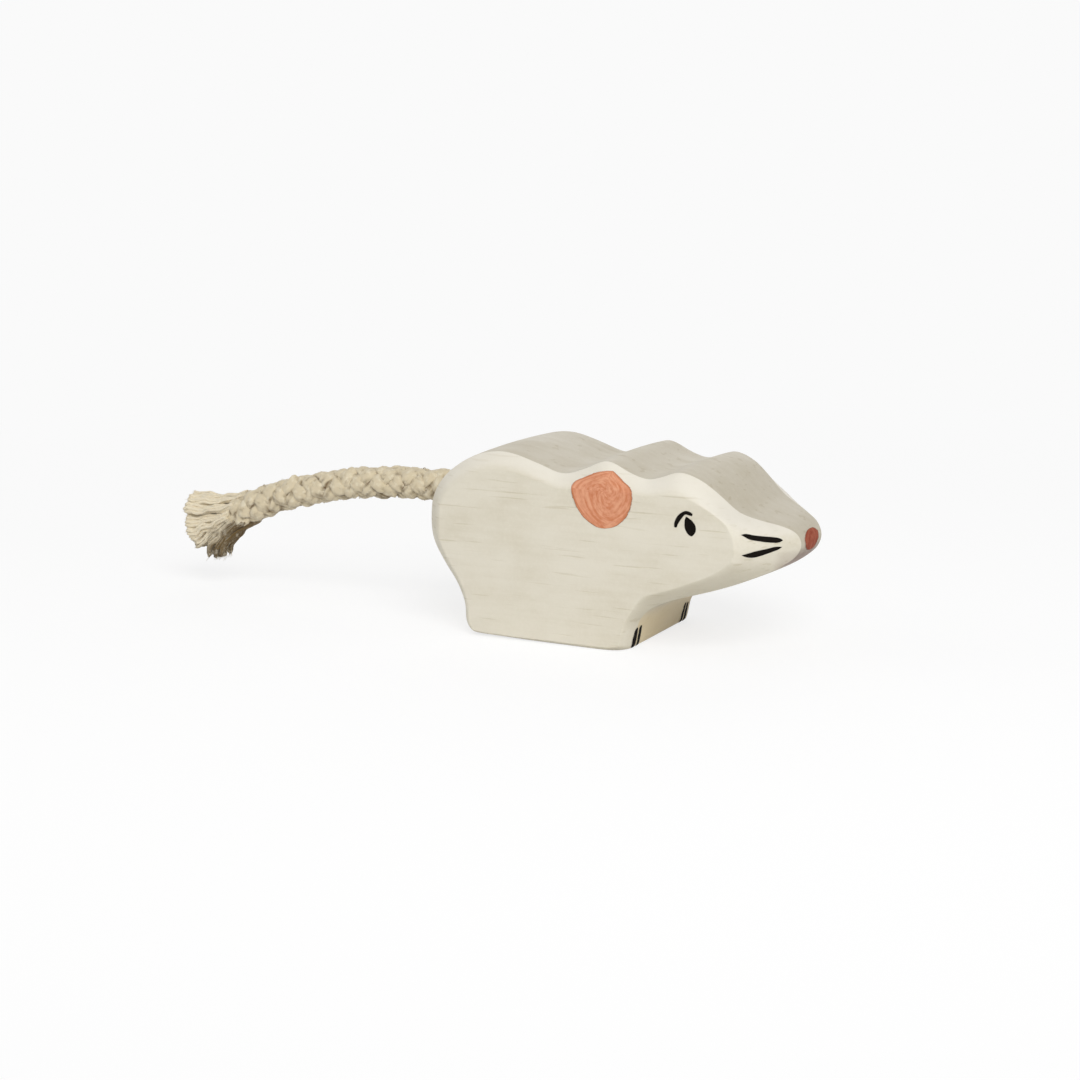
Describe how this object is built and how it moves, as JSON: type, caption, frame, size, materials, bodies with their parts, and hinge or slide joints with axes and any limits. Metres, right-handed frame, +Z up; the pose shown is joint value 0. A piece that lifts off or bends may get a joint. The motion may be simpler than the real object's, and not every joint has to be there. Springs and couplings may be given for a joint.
{
  "type": "toy mouse",
  "caption": "Small wooden toy mouse sawn from a plank, with rounded edges, painted face marks and a braided rope tail that ends in a frayed tuft.",
  "frame": {"origin": "middle of the wooden figure's box, on the base it stands on", "axes": "+X towards the nose along the length, +Y across the plank towards the mouse's left side, +Z up"},
  "size_m": [0.0827, 0.0202, 0.0212],
  "materials": {
    "glazed_wood": "satin white glaze over light wood",
    "cotton_rope": "natural braided cotton",
    "glue": "dried wood glue",
    "ear_salmon": "brushed paint film",
    "nose_red": "brushed paint film",
    "black_paint": "brushed paint film"
  },
  "bodies": {
    "mouse": {"wooden_body": "glazed_wood", "tail_root": "cotton_rope", "tail_glue": "glue", "ear_paint_right": "ear_salmon", "ear_paint_left": "ear_salmon", "eye_paint_right": "black_paint", "eye_paint_left": "black_paint", "eyelid_paint_right": "black_paint", "eyelid_paint_left": "black_paint", "whisker_paint_right": "black_paint", "whisker_paint_left": "black_paint", "nose_paint": "nose_red", "claw_paint_right": "black_paint", "claw_paint_left": "black_paint"},
    "tail": {"tail_rope": "cotton_rope"},
    "tuft": {"tail_tuft": "cotton_rope"}
  },
  "joints": [
    {"name": "tail_sway", "type": "hinge", "parent": "mouse", "child": "tail", "pos_m": [-0.02125, 0, 0.015], "axis": [0, 0, 1], "range_deg": [-50, 50], "stiffness_Nm_per_rad": 0.0002, "deforming": ["tail_rope"]},
    {"name": "tuft_bend", "type": "hinge", "parent": "tail", "child": "tuft", "pos_m": [-0.0536, 0, 0.0091], "axis": [0, 1, 0], "range_deg": [-30, 30], "stiffness_Nm_per_rad": 0.0002, "deforming": ["tail_rope"]}
  ]
}
